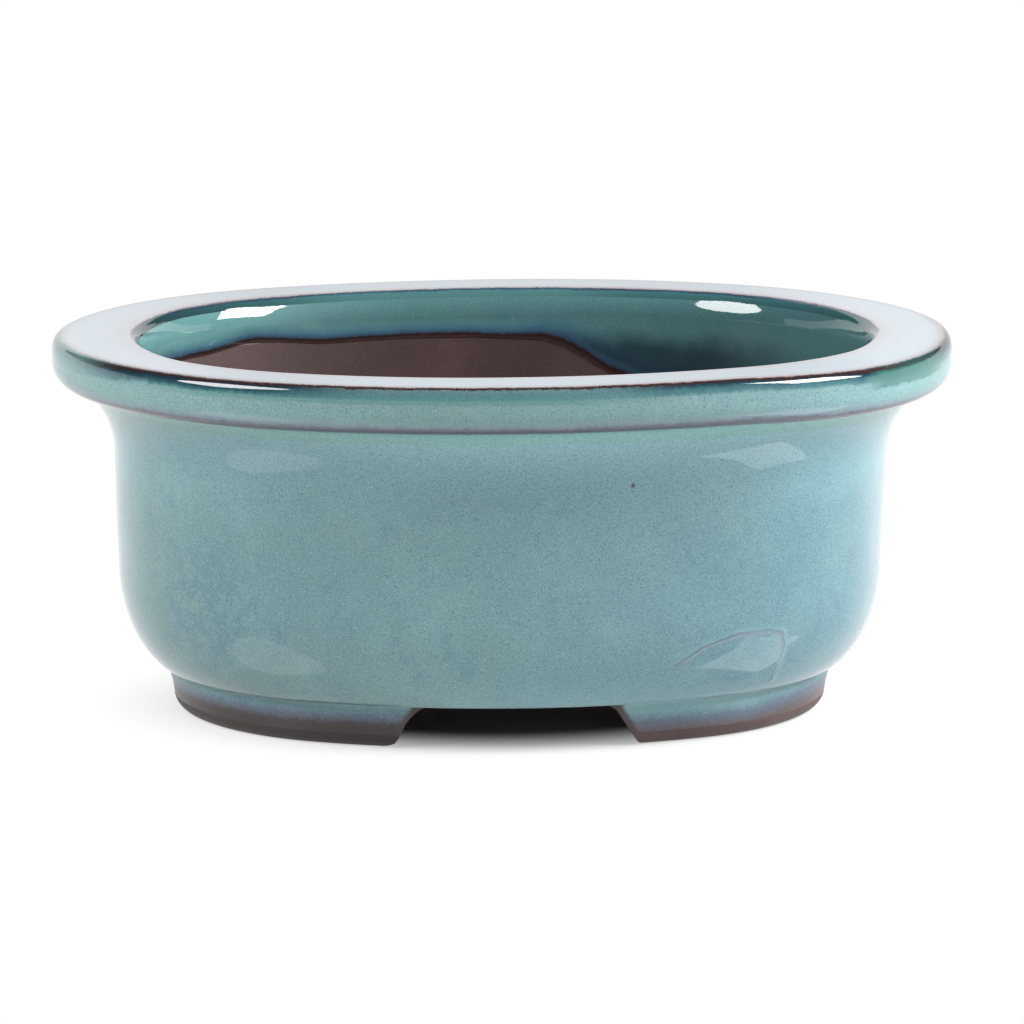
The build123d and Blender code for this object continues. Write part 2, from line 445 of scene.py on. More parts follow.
floor = start_piece("clay_floor")
bpy.ops.transform.translate(value=section_place(slab_inset, slab_low.z / mm))
spin_round_plan()
bpy.ops.object.mode_set(mode="EDIT")
bpy.ops.mesh.select_all(action="SELECT")
bpy.ops.mesh.edge_face_add()
bpy.ops.mesh.extrude_region_move(TRANSFORM_OT_translate={"value": (0, 0, slab_high.z - slab_low.z)})
close_piece()
for side in (-1, 1):
    hole_centre = (side * hole_place * mm, 0, punch_level * mm)
    bpy.ops.mesh.primitive_cylinder_add(vertices=72, radius=hole_radius * mm,
                                        depth=punch_length * mm, location=hole_centre)
    punch = bpy.context.object
    cut = floor.modifiers.new("drain_hole", "BOOLEAN")
    cut.object = punch
    cut.operation = "DIFFERENCE"
    bpy.context.view_layer.objects.active = floor
    bpy.ops.object.modifier_apply(modifier=cut.name)
    bpy.data.objects.remove(punch)
soft = floor.modifiers.new("wiped_edges", "BEVEL")
soft.width = 0.7 * mm
soft.segments = 3
soft.limit_method = "ANGLE"
soft.angle_limit = math.radians(50)
bpy.ops.object.modifier_apply(modifier=soft.name)
settle(floor)
finish_piece(floor, "floor_slab", bare_clay)

# ----------------------------------------------------------
# Wall: a clay band bent round the floor slab, with a rounded foot, an upright side and a
# neck that flares out to carry the rim. Its inside is bare and shows below the glaze.
coat = 0.6
wall_thickness = 4.4
wall_low, wall_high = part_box("wall")
seam_level = wall_low.z / mm
collar_level = wall_high.z / mm
belly_inset, belly_level = 14.9, 32.75
belly_out, belly_up = 15.87, 24.95
neck_inset, neck_level, flare = 13.95, 56.6, 22.0
# The inside's insets under the collar, at the neck and at the belly
inside_top, inside_neck, inside_belly = 18.8, 19.2, 20.2


def bend(inset, level, radius, start, end, steps, height=None):
    """Spots along a bend round a centre. Nought degrees faces outwards and 90 up. An oval
    bend has a height other than its radius."""
    height = radius if height is None else height
    turns = [math.radians(start + (end - start) * n / steps) for n in range(steps + 1)]
    return [(inset - radius * math.cos(a), level + height * math.sin(a)) for a in turns]


def run(start, end, steps):
    """Spots along a straight run, without its last one."""
    return [(start[0] + (end[0] - start[0]) * n / steps, start[1] + (end[1] - start[1]) * n / steps)
            for n in range(steps)]


def back(spots):
    """The same spots in the other direction."""
    return list(reversed(spots))


def belly(cover, start_level, steps):
    """Spots of the belly's lower rounding, from a level up to the upright side."""
    out, up = belly_out - cover, belly_up - cover
    start = math.degrees(math.asin((start_level - belly_level) / up))
    return bend(belly_inset + belly_out, belly_level, out, start, 0, steps, height=up)


def upright(cover, steps):
    """Spots up the nearly upright side, between the belly and the neck."""
    return run((belly_inset + cover, belly_level), (neck_inset + cover, neck_level), steps)[1:]


def neck(cover, top_level, steps):
    """Spots of the neck's outward flare, from the upright side up to a level."""
    radius = flare + cover
    top = math.asin((top_level - neck_level) / radius)
    turns = [top * n / steps for n in range(steps + 1)]
    return [(neck_inset - flare + radius * math.cos(a), neck_level + radius * math.sin(a))
            for a in turns]


wall = start_piece("clay_wall")
inner_cover = coat + wall_thickness
inner_floor_level = slab_high.z / mm
draw_section(
    belly(coat, seam_level, 12)
    + upright(coat, 6)
    + neck(coat, collar_level, 10)
    + run((inside_top, collar_level), (inside_neck, neck_level), 8)
    + run((inside_neck, neck_level), (inside_belly, belly_level), 6)
    + back(belly(inner_cover, inner_floor_level, 12))
    + [(slab_inset, inner_floor_level), (slab_inset, seam_level)]
)
spin_round_plan()
settle(wall)
finish_piece(wall, "wall", bare_clay)

# ----------------------------------------------------------
# Rim collar: a broad clay band laid on the wall, flat above, rounded outside, with a
# curved inner face. The glaze covers all of it but the lowest inside edge.
lip_level, top_level = 73.3, 84.0
bottom_round = 5.1
crown_round, shoulder_round, crown_turn = 2.2, 4.6, 20.0
crown_inset = shoulder_round - (shoulder_round - crown_round) * math.cos(math.radians(crown_turn))
shoulder_level = (top_level - crown_round
                  - (shoulder_round - crown_round) * math.sin(math.radians(crown_turn)))
edge_round, edge_inset, edge_turn = 3.2, 14.27, 146.8
throat_inset, throat_round, throat_coat = 18.5, 9.417, 0.5
throat_centre = throat_inset - throat_round


def rim_outside(cover, low_level, steps):
    """Spots from under the lip up its face and over the outer edge to the flat top."""
    low, shoulder, crown = bottom_round - cover, shoulder_round - cover, crown_round - cover
    return (
        bend(bottom_round, low_level + low, low, -90, 0, steps)
        + bend(shoulder_round, shoulder_level, shoulder, 0, crown_turn, 4)
        + bend(crown_inset, top_level - crown_round, crown, crown_turn, 90, steps)[1:]
    )


def rim_top(cover, steps):
    """Spots along the flat top, between its outer and its inner rounding."""
    return run((crown_inset, top_level - cover), (edge_inset, top_level - cover), steps)[1:]


def rim_inside(cover, throat_cover, low_turn, steps):
    """Spots from the flat top over the inner edge and down the curved inner face."""
    edge = edge_round - cover
    throat = throat_round - throat_cover
    turned = bend(edge_inset, top_level - edge_round, edge, 90, edge_turn, steps)
    face = bend(throat_centre, throat_level, throat, edge_turn, low_turn, steps)
    return turned + face[1:]


collar = start_piece("clay_rim")
draw_section(
    rim_outside(coat, collar_level, 8)
    + rim_top(coat, 4)
    + rim_inside(coat, throat_coat, 180, 8)
    + [(inside_top, collar_level)]
)
spin_round_plan()
settle(collar)
finish_piece(collar, "rim_collar", bare_clay)

# ----------------------------------------------------------
# Feet: one low clay ring luted under the wall, upright outside and rounded where it meets
# the table, cut into two C shapes by an arch through the front and the back.
foot_inset, foot_width, foot_taper = 27.0, 10.6, 0.1
foot_base_round, foot_inner_round = 3.0, 1.0
# The arch's two cut edges, along the pot and up, and how far the knife reaches across
arch_left = ((-28.6, -2), (-28.0, 0.03), (-26.6, 0.4), (-25.3, 1.0), (-24.4, 2.5), (-23.0, 5.8),
             (-21.7, 7.6), (-20.6, 8.7), (-19.2, 9.6), (-17.8, 9.95), (-17.8, 11.5))
arch_right = ((29.0, -2), (28.9, 0.03), (28.1, 0.2), (27.4, 0.9), (24.3, 5.9), (23.4, 7.5),
              (22.6, 8.6), (21.4, 9.5), (20.0, 9.95), (20.0, 11.5))
knife_reach = 90


def cut_arch(piece):
    """Cuts the arch through both long sides of a ring and returns its two halves."""
    knife = start_piece("arch_knife")
    outline = arch_left + tuple(reversed(arch_right))
    draw_round([Vector((x, -knife_reach, z)) * mm for x, z in outline])
    bpy.ops.mesh.select_all(action="SELECT")
    bpy.ops.mesh.remove_doubles(threshold=weld * mm)
    bpy.ops.mesh.edge_face_add()
    through = (0, 2 * knife_reach * mm, 0)
    bpy.ops.mesh.extrude_region_move(TRANSFORM_OT_translate={"value": through})
    close_piece()
    cut = piece.modifiers.new("arch", "BOOLEAN")
    cut.object = knife
    cut.operation = "DIFFERENCE"
    bpy.ops.object.select_all(action="DESELECT")
    piece.select_set(True)
    bpy.context.view_layer.objects.active = piece
    bpy.ops.object.modifier_apply(modifier=cut.name)
    bpy.data.objects.remove(knife)
    bpy.ops.object.mode_set(mode="EDIT")
    bpy.ops.mesh.select_all(action="SELECT")
    bpy.ops.mesh.separate(type="LOOSE")
    bpy.ops.object.mode_set(mode="OBJECT")
    halves = list(bpy.context.selected_objects)
    return sorted(halves, key=lambda half: min(point.co.x for point in half.data.vertices))


feet = start_piece("clay_foot")
foot_inner = foot_inset + foot_width
draw_section(
    run((foot_inset + foot_taper, seam_level), (foot_inset, foot_base_round), 6)
    + bend(foot_inset + foot_base_round, foot_base_round, foot_base_round, 0, -90, 10)
    + bend(foot_inner - foot_inner_round, foot_inner_round, foot_inner_round, -90, -180, 5)
    + [(foot_inner, seam_level)]
)
spin_round_plan()
for half, side in zip(cut_arch(feet), ("left", "right")):
    half.name = f"clay_foot_{side}"
    half.data.name = half.name
    settle(half)
    finish_piece(half, f"foot_{side}", bare_clay)

# ----------------------------------------------------------
# Glaze on the wall: a thick glossy coat, teal with fine blue-grey specks, that the pot was
# dipped in, from the seam above the feet up to the underside of the lip. It has small
# pits and, at the front's lower right, a raised ridge.
teal_green, teal_blue = (0.138, 0.240, 0.232, 1), (0.116, 0.228, 0.262, 1)
teal_cloud, teal_mottle = (0.158, 0.285, 0.292, 1), (0.080, 0.175, 0.225, 1)
teal_lit_middle, pooled_blue = (0.22, 0.43, 0.47, 1), (0.060, 0.135, 0.195, 1)
dark_speck, pale_speck = (0.050, 0.105, 0.170, 1), (0.26, 0.40, 0.41, 1)
painted_sheen_white = (0.58, 0.66, 0.70, 1)
pit_brown = (0.045, 0.028, 0.032, 1)
# Each pit's place and radius
pits = (
    (24.5, -63.5, 60.0, 0.62), (16.9, -65.8, 64.4, 0.30), (-42.9, -54.8, 20.9, 0.62),
    (-38.8, -57.0, 22.8, 0.36), (-61.0, -47.4, 28.7, 0.5), (-58.9, -53.0, 66.8, 0.34),
    (-57.6, -51.0, 51.5, 0.32), (-2.0, -65.8, 58.9, 0.26), (5.7, -63.0, 22.4, 0.28),
    (48.0, -51.8, 18.9, 0.28),
)
pool_place = (-0.066, -0.046, 0.030)
ridge_line = ((35.6, -56.9, 20.1), (41.0, -56.4, 23.6), (49.0, -54.0, 26.0), (55.5, -50.2, 26.0),
              (58.9, -48.0, 24.8), (59.6, -46.4, 21.6), (58.2, -44.8, 16.9), (56.9, -43.0, 13.4))
ridge_height, ridge_width = 0.30, 0.55
# Bands of colour. Each stop is a distance in millimetres, a colour and how much it covers
# The neck's bands are painted light: paler teal for light from the table under the lip, and higher
# up a greener band, a painted reflection of the lip's dark underside
neck_light_stops = (
    (49, (0.21, 0.38, 0.42), 0.0), (56, (0.21, 0.39, 0.43), 0.20),
    (61, (0.21, 0.39, 0.43), 0.42), (65, (0.21, 0.39, 0.43), 0.62),
    (68.5, (0.21, 0.38, 0.42), 0.78), (69.9, (0.21, 0.38, 0.42), 0.78),
    (70.6, (0.165, 0.370, 0.325), 0.75), (72.6, (0.165, 0.370, 0.325), 0.70),
    (73.6, (0.120, 0.290, 0.260), 0.5))
seam_stops = ((9.0, (0.03, 0.06, 0.075), 0.85), (10.6, (0.03, 0.06, 0.075), 0.75),
              (11.3, (0.12, 0.25, 0.25), 0.0))
# The ridge: a dark speckled line of glaze on one side, and on the other a paler band, a painted
# highlight along its edge
ridge_line_and_highlight_stops = ((-1.6, (0.10, 0.14, 0.20), 0.0), (-0.5, (0.085, 0.105, 0.155), 0.55),
               (0.15, (0.085, 0.105, 0.155), 0.6), (0.5, (0.20, 0.34, 0.35), 0.35),
               (1.6, (0.20, 0.34, 0.35), 0.0))


def write_mark(piece, name, values):
    """Writes a value on each point of the mesh, for the glaze's colours to follow."""
    marks = piece.data.attributes
    layer = marks.get(name) or marks.new(name, "FLOAT", "POINT")
    layer.data.foreach_set("value", values)


def mark_section(piece, path, start):
    """Writes on each point how far along the section's outer path it lies, and its level."""
    lengths = [start]
    for here, there in zip(path, path[1:]):
        lengths.append(lengths[-1] + math.dist(here, there))
    found = {}
    along, levels = [], []
    for point in piece.data.vertices:
        level, inset = point.co.z / mm, plan_inset(point.co)
        key = round(inset, 1), round(level, 1)
        if key not in found:
            nearest = min(range(len(path)), key=lambda n: math.dist(path[n], (inset, level)))
            found[key] = lengths[nearest]
        along.append(found[key])
        levels.append(level)
    write_mark(piece, "along", along)
    write_mark(piece, "level", levels)


def read_mark(tree, name):
    """The socket of a value that write_mark wrote on the mesh."""
    return add_node(tree, "ShaderNodeAttribute", {"attribute_name": name}).outputs["Fac"]


def ragged(tree, place, value, wander, fray, grain):
    """The value shifted to and fro by slow, quick and grainy noise, in millimetres."""
    for scale, size in ((110, wander), (650, fray), (3600, grain)):
        shift = calc(tree, "MULTIPLY", calc(tree, "SUBTRACT", noise(tree, place, scale), 0.5), size)
        value = calc(tree, "ADD", value, shift)
    return value


def distance_to(tree, place, spot):
    """How far a place is from a fixed spot, in metres."""
    made = add_node(tree, "ShaderNodeVectorMath", {"operation": "DISTANCE"}, _0=place, _1=spot)
    return made.outputs["Value"]


def paint_along(tree, colour, along, stops, strength=1.0):
    """Paints bands over the colour, by stops along a value. Past the last stop its cover
    goes on."""
    low, high = stops[0][0], stops[-1][0]
    spot = add_node(tree, "ShaderNodeMapRange", _0=along, _1=low, _2=high).outputs[0]
    ramp = add_node(tree, "ShaderNodeValToRGB", Fac=spot)
    elements = ramp.color_ramp.elements
    for element, (_, paint, cover) in zip(elements, (stops[0], stops[-1])):
        element.color = (*paint, cover)
    for distance, paint, cover in stops[1:-1]:
        elements.new((distance - low) / (high - low)).color = (*paint, cover)
    cover = calc(tree, "MULTIPLY", ramp.outputs["Alpha"], strength)
    return blend_colour(tree, cover, colour, ramp.outputs["Color"])


def teal_glaze(tree, place):
    """The glaze's own colour: greener on the left, bluer on the right, softly mottled."""
    across = add_node(tree, "ShaderNodeSeparateXYZ", _0=place).outputs["X"]
    drift = calc(tree, "ADD", soft_step(tree, across, -0.085, 0.065, -0.1, 0.75),
                 soft_step(tree, noise(tree, place, 26, 3, 0.55), 0.36, 0.66, -0.15, 0.35))
    colour = blend_colour(tree, drift, teal_green, teal_blue)
    cloud = soft_step(tree, noise(tree, place, 75, 3, 0.6), 0.42, 0.70, 0.0, 0.5)
    colour = blend_colour(tree, cloud, colour, teal_cloud)
    moved = add_node(tree, "ShaderNodeVectorMath", {"operation": "ADD"}, _0=place,
                     _1=(0.3, 0.1, 0.2)).outputs[0]
    mottle = soft_step(tree, noise(tree, moved, 150, 4, 0.65), 0.50, 0.72, 0.0, 0.5)
    return blend_colour(tree, mottle, colour, teal_mottle)


def speckled(tree, place, colour, strength=1.0):
    """Fine dark blue and pale grains in the glaze."""
    dark = soft_step(tree, noise(tree, place, 3500, 2, 0.6), 0.49, 0.66, 0.0, 0.62 * strength)
    colour = blend_colour(tree, dark, colour, dark_speck)
    light = soft_step(tree, noise(tree, place, 2700, 2, 0.6), 0.52, 0.70, 0.0, 0.42 * strength)
    return blend_colour(tree, light, colour, pale_speck)


def shine(tree, output, place, colour, wave_height=0.25, roughness=0.05, sheen_amount=0.0):
    """The glaze's clear glossy surface, with the faint waviness of a melted coat. Seen
    aslant, it is painted paler: a painted sheen that stands for the white it reflects."""
    # Painted sheen: aslant the colour goes towards white, a painted reflection
    aslant = add_node(tree, "ShaderNodeLayerWeight", Blend=0.5).outputs["Facing"]
    painted_sheen = soft_step(tree, aslant, 0.5, 0.97, 0.0, sheen_amount)
    colour = blend_colour(tree, painted_sheen, colour, painted_sheen_white)
    wave = add_node(tree, "ShaderNodeBump", Strength=wave_height, Distance=0.0002,
                    Height=noise(tree, place, 190, 1, 0.4))
    shade = add_node(tree, "ShaderNodeBsdfPrincipled", _0=colour, Roughness=roughness,
                     IOR=1.54, Normal=wave.outputs[0])
    tree.links.new(shade.outputs[0], output.inputs["Surface"])


body_coat, tree, output = new_material("body_glaze")
place, across, _, _ = pot_place(tree)
level = read_mark(tree, "level")
# Painted light and reflection on the neck, weaker at the left
neck_light_shown = soft_step(tree, across, -0.075, 0.0, 0.7, 1.0)
colour = paint_along(tree, teal_glaze(tree, place), ragged(tree, place, level, 1.2, 0.4, 0.3),
                     neck_light_stops, neck_light_shown)
pooled = soft_step(tree, distance_to(tree, place, pool_place), 0.004, 0.026, 0.42, 0.0)
broken = soft_step(tree, noise(tree, place, 420, 4, 0.7), 0.36, 0.60)
pooled = calc(tree, "MULTIPLY", pooled, broken)
colour = blend_colour(tree, pooled, colour, pooled_blue)
# Painted light: the front's middle is painted a little lighter
lit_middle = soft_step(tree, calc(tree, "ABSOLUTE", across), 0.050, 0.010, 0.0, 0.13)
colour = blend_colour(tree, lit_middle, colour, teal_lit_middle)
colour = speckled(tree, place, colour)
seam = calc(tree, "ADD", level, calc(tree, "MULTIPLY", noise(tree, place, 200), 0.5))
seam_right = soft_step(tree, across, 0.034, 0.046)
seam_left = soft_step(tree, across, -0.022, -0.030)
seam_shown = calc(tree, "MAXIMUM", seam_right, seam_left)
colour = paint_along(tree, colour, seam, seam_stops, seam_shown)
ridge = ragged(tree, place, read_mark(tree, "ridge"), 0.2, 0.3, 0.5)
colour = paint_along(tree, colour, ridge, ridge_line_and_highlight_stops)
for x, y, z, radius in pits:
    gap = distance_to(tree, place, (x * mm, y * mm, z * mm))
    pit = soft_step(tree, gap, radius * 0.45 * mm, radius * 1.25 * mm, 0.9, 0.0)
    colour = blend_colour(tree, pit, colour, pit_brown)
shine(tree, output, place, colour, sheen_amount=0.26)

# The coat's lower hem at the seam, by insets and rises from the seam's level
hem_inset = 26.9
hem = ((hem_inset, -0.02), (25.7, -0.2), (25.1, -0.1))
body_glaze = start_piece("glaze_wall")
body_path = (
    [(inset, seam_level + rise) for inset, rise in hem]
    + belly(0, seam_level + 0.25, 26)
    + upright(0, 14)
    + neck(0, collar_level, 20)
)
draw_section(
    body_path
    + back(neck(coat, collar_level, 20))
    + back(upright(coat, 14))
    + back(belly(coat, seam_level + 0.3, 26))
    + [(hem_inset, seam_level + 0.1)]
)
spin_round_plan()
mark_section(body_glaze, body_path, 0)

ridge_points = [Vector(spot) for spot in ridge_line]


def near_ridge(spot):
    """Whether a spot lies at the lower right of the front, where the ridge is."""
    return spot.x > 25 and spot.y < -30 and 8 < spot.z < 32


def nearest_on_line(spot, line):
    """Distance of a spot from a line of points, and which side of the line it lies on."""
    best = (1e9, 0)
    for start, end in zip(line, line[1:]):
        step = end - start
        part = min(1, max(0, (spot - start).dot(step) / step.length_squared))
        gap = spot - (start + step * part)
        side = step.x * gap.z - step.z * gap.x
        best = min(best, (gap.length, -1 if side < 0 else 1))
    return best


# The mesh is made finer along the ridge, twice, and then raised
for reach in (3.2, 2.2):
    bpy.ops.object.mode_set(mode="EDIT")
    bpy.ops.mesh.select_mode(type="FACE")
    bpy.ops.mesh.select_all(action="DESELECT")
    bpy.ops.object.mode_set(mode="OBJECT")
    for face in body_glaze.data.polygons:
        spot = face.center / mm
        face.select = (near_ridge(spot) and face.normal.y < 0.2
                       and nearest_on_line(spot, ridge_points)[0] < reach)
    bpy.ops.object.mode_set(mode="EDIT")
    bpy.ops.mesh.subdivide(number_cuts=1)
    bpy.ops.object.mode_set(mode="OBJECT")
bpy.ops.object.mode_set(mode="EDIT")
bpy.ops.mesh.select_mode(type="VERT")
bpy.ops.object.mode_set(mode="OBJECT")
far_off = (9.0, 1)
ridge_marks = []
for point in body_glaze.data.vertices:
    spot = point.co / mm
    gap, side = nearest_on_line(spot, ridge_points) if near_ridge(spot) else far_off
    ridge_marks.append(gap * side)
    if gap < 2:
        point.co += point.normal * ridge_height * mm * math.exp(-(gap / ridge_width) ** 2)
write_mark(body_glaze, "ridge", ridge_marks)
settle(body_glaze)
finish_piece(body_glaze, "glaze_body", body_coat)

# ----------------------------------------------------------
# Glaze on the rim: under the lip, round its face and over the top. It breaks to dark
# brown and deep blue along the outer edge, to blue along the inner edge, and to a purple
# line along the bottom of the lip.
lip_hem = 6.5
inner_start = 150.0
lip_face = rim_outside(0, lip_level, 14)
rim_path = [(lip_hem, lip_level)] + lip_face + rim_top(0, 10) + rim_inside(0, 0, inner_start, 10)
outer_path = rim_path[:len(lip_face)]
outer_length = sum(math.dist(*pair) for pair in zip(outer_path, outer_path[1:]))
top_width = edge_inset - crown_inset
# The stops' distances count from the outer edge of the flat top, inwards
purple_stops = (
    (-13.4, (0.08, 0.20, 0.22), 0.3), (-12.4, (0.060, 0.046, 0.070), 0.80),
    (-11.1, (0.068, 0.050, 0.072), 0.92), (-10.4, (0.085, 0.080, 0.120), 0.85),
    (-9.8, (0.15, 0.17, 0.24), 0.6), (-8.8, (0.20, 0.25, 0.31), 0.3),
    (-7.9, (0.15, 0.26, 0.26), 0.0))
roll_stops = (
    (-5.0, (0.09, 0.24, 0.22), 0.0), (-4.5, (0.050, 0.180, 0.165), 0.55),
    (-3.3, (0.060, 0.210, 0.190), 0.45), (-2.2, (0.040, 0.140, 0.140), 0.3),
    (-1.6, (0.03, 0.1, 0.1), 0.0))
deep_stops = (
    (-4.1, (0.050, 0.160, 0.170), 0.0), (-3.3, (0.034, 0.110, 0.130), 0.7),
    (-2.6, (0.028, 0.090, 0.110), 0.85), (-1.8, (0.014, 0.035, 0.055), 1.0),
    (-1.1, (0.012, 0.020, 0.030), 1.0))
left_stops = (
    (-3.6, (0.032, 0.100, 0.105), 0.0), (-2.9, (0.022, 0.070, 0.085), 0.9),
    (-1.9, (0.012, 0.028, 0.042), 1.0), (-0.9, (0.014, 0.018, 0.026), 1.0),
    (-0.4, (0.030, 0.030, 0.040), 0.0))
patch_stops = (
    (-5.9, (0.09, 0.22, 0.20), 0.0), (-5.4, (0.050, 0.150, 0.135), 1.0),
    (-2.2, (0.040, 0.135, 0.118), 1.0), (-1.2, (0.024, 0.075, 0.075), 1.0))
bare_stops = (
    (-1.5, (0.030, 0.014, 0.012), 0.0), (-1.2, (0.030, 0.014, 0.012), 1.0),
    (-0.55, (0.050, 0.026, 0.024), 1.0), (-0.2, (0.10, 0.07, 0.07), 0.0))
# The flat top is painted pale blue, a painted reflection of the white around it, with pinkish edges
# where the glaze thins
top_reflection_stops = (
    (-0.7, (0.31, 0.26, 0.28), 0.0), (-0.1, (0.31, 0.26, 0.28), 0.75),
    (0.9, (0.31, 0.29, 0.33), 0.6), (2.4, (0.27, 0.33, 0.38), 0.8),
    (top_width - 2.6, (0.27, 0.33, 0.38), 0.8), (top_width - 0.6, (0.31, 0.28, 0.32), 0.7),
    (top_width + 1.0, (0.27, 0.22, 0.25), 0.8), (top_width + 1.2, (0.20, 0.17, 0.20), 0.5),
    (top_width + 1.5, (0.20, 0.17, 0.20), 0.0))
top_end_reflection_stops = (
    (-0.2, (0.42, 0.47, 0.51), 0.0), (1.2, (0.42, 0.47, 0.51), 1.0),
    (top_width - 1.0, (0.42, 0.47, 0.51), 1.0), (top_width + 1.0, (0.42, 0.44, 0.48), 1.0),
    (top_width + 1.4, (0.30, 0.30, 0.34), 0.0))
inner_edge_stops = (
    (top_width + 1.0, (0.10, 0.08, 0.10), 0.0), (top_width + 1.3, (0.035, 0.032, 0.045), 0.95),
    (top_width + 1.7, (0.025, 0.060, 0.100), 0.9), (top_width + 2.3, (0.045, 0.135, 0.150), 0.8),
    (top_width + 3.0, (0.042, 0.125, 0.125), 0.75))
rim_pale_lit = (0.210, 0.360, 0.335, 1)

rim_coat, tree, output = new_material("rim_glaze")
place, across, deep, _ = pot_place(tree)
along = ragged(tree, place, read_mark(tree, "along"), 1.0, 0.9, 1.3)
# The breaks at the outer edge lie lower on the face at the pot's two ends
lower_left = soft_step(tree, across, -0.078, -0.094, 0.0, 1.2)
lower_right = soft_step(tree, across, 0.062, 0.085, 0.0, 0.6)
outer = calc(tree, "ADD", along, calc(tree, "ADD", lower_left, lower_right))
# The rim's glaze is paler, and more so towards the right, where that extra paleness is painted
# light
pale_and_lit_right = soft_step(tree, across, -0.040, 0.070, 0.40, 0.55)
colour = blend_colour(tree, pale_and_lit_right, teal_glaze(tree, place), rim_pale_lit)
colour = speckled(tree, place, colour)
colour = paint_along(tree, colour, along, purple_stops)
# A faint roll of thicker glaze on the front's left half
rolled = calc(tree, "MULTIPLY", soft_step(tree, across, 0.040, 0.005),
              soft_step(tree, across, -0.090, -0.060))
colour = paint_along(tree, colour, outer, roll_stops, rolled)
# Deep blue above it, weaker in the middle and at the left end
offset = calc(tree, "ABSOLUTE", calc(tree, "ADD", across, 0.008))
sides = calc(tree, "MULTIPLY", soft_step(tree, offset, 0.020, 0.045, 0.45, 1.0),
             soft_step(tree, across, -0.096, -0.084, 0.3, 1.0))
colour = paint_along(tree, colour, outer, deep_stops, sides)
# A darker stretch near the left end, and a fresh green patch near the right one
dark_left = calc(tree, "MULTIPLY", soft_step(tree, across, -0.040, -0.060),
                 soft_step(tree, across, -0.089, -0.080))
colour = paint_along(tree, colour, outer, left_stops, dark_left)
patch = calc(tree, "MULTIPLY", soft_step(tree, across, 0.074, 0.080, 0.0, 0.85),
             soft_step(tree, across, 0.098, 0.091))
colour = paint_along(tree, colour, along, patch_stops, patch)
# The brown line of the outer edge, fainter at the ends and on the far side
bare_edge = calc(tree, "MULTIPLY", soft_step(tree, across, -0.092, -0.080, 0.15, 1.0),
                 soft_step(tree, across, 0.090, 0.074, 0.35, 1.0))
bare_edge = calc(tree, "MULTIPLY", bare_edge, soft_step(tree, deep, 0.030, 0.0, 0.4, 1.0))
colour = paint_along(tree, colour, outer, bare_stops, bare_edge)
# The flat top's painted reflection, whiter towards the ends, and the inner edge's blue line
colour = paint_along(tree, colour, along, top_reflection_stops)
reflection_ends = soft_step(tree, calc(tree, "ABSOLUTE", across), 0.050, 0.085, 0.0, 0.45)
colour = paint_along(tree, colour, along, top_end_reflection_stops, reflection_ends)
inner_shown = soft_step(tree, across, -0.088, -0.030, 0.35, 1.0)
colour = paint_along(tree, colour, along, inner_edge_stops, inner_shown)
shine(tree, output, place, colour, wave_height=0.05)

rim_glaze = start_piece("glaze_rim")
draw_section(
    rim_path
    + back(rim_inside(coat, throat_coat, inner_start, 10))
    + back(rim_top(coat, 10))
    + back(rim_outside(coat, collar_level, 14))
    + [(lip_hem, collar_level)]
)
spin_round_plan()
mark_section(rim_glaze, rim_path, -outer_length)
settle(rim_glaze)
finish_piece(rim_glaze, "glaze_rim", rim_coat)

# ----------------------------------------------------------
# Glaze inside: the same coat wiped off a little below the rim, ending in a blue fringe
# and a dark brown line. At the right of the far side it has run further down.
inner_end = 75.3
# Where the glaze ends round the inside: places in the plan and the level at each
glaze_ends = (
    (-78, 5, 73.5), (-71.8, 31, 72.8), (-65.7, 38.6, 72.8), (-62.7, 41, 73.2),
    (-55.5, 46.6, 74.4), (-50.5, 49.5, 74.0), (-38, 54.6, 72.8), (-20.5, 58.9, 73.1),
    (-4.1, 61, 73.0), (5.6, 61, 72.5), (12.4, 60.5, 72.2), (16.9, 59.9, 70.8),
    (21.3, 59.2, 68.5), (25.8, 58.3, 65.8), (29.4, 57.5, 63.7), (36, 55.5, 61.5),
    (52, 49, 60.5), (70, 33, 62.5), (79, 12, 66), (80, -12, 70), (66, -38, 73.2),
    (40, -54, 74.2), (0, -61, 73.4), (-40, -54, 74.4), (-66, -38, 73.6), (-80, -12, 74.2))
# Below the throat the coat follows the wall's lean, standing a little proud of the clay
wall_lean, wall_top, proud = 0.025, 73.9, 0.14
lit_teal, shaded_teal = (0.125, 0.330, 0.315, 1), (0.042, 0.124, 0.122, 1)
navy_blue = (0.013, 0.027, 0.042, 1)
# These stops' distances count upwards from the glaze's end
fringe_stops = (
    (0.0, (0.050, 0.029, 0.027), 1.0), (0.6, (0.024, 0.013, 0.012), 1.0),
    (0.9, (0.022, 0.012, 0.011), 1.0), (1.2, (0.026, 0.045, 0.080), 0.95),
    (2.0, (0.036, 0.095, 0.145), 0.85), (4.3, (0.06, 0.16, 0.18), 0.0))

inner_coat, tree, output = new_material("inner_glaze")
place, across, _, _ = pot_place(tree)
# Painted light at the left of the inside, and painted shade towards the right
lit = soft_step(tree, across, -0.030, -0.060, 0.0, 0.6)
colour = blend_colour(tree, lit, teal_glaze(tree, place), lit_teal)
depth = soft_step(tree, across, -0.065, -0.015, 0.1, 0.75)
colour = blend_colour(tree, depth, colour, shaded_teal)
sunk = ragged(tree, place, read_mark(tree, "level"), 5.0, 1.0, 0.5)
colour = speckled(tree, place, colour, 0.35)
wider = soft_step(tree, across, 0.0, 0.020, 1.0, 0.5)
edge = calc(tree, "MULTIPLY", read_mark(tree, "edge"), wider)
edge = ragged(tree, place, edge, 0.7, 0.5, 0.8)
colour = paint_along(tree, colour, edge, fringe_stops)
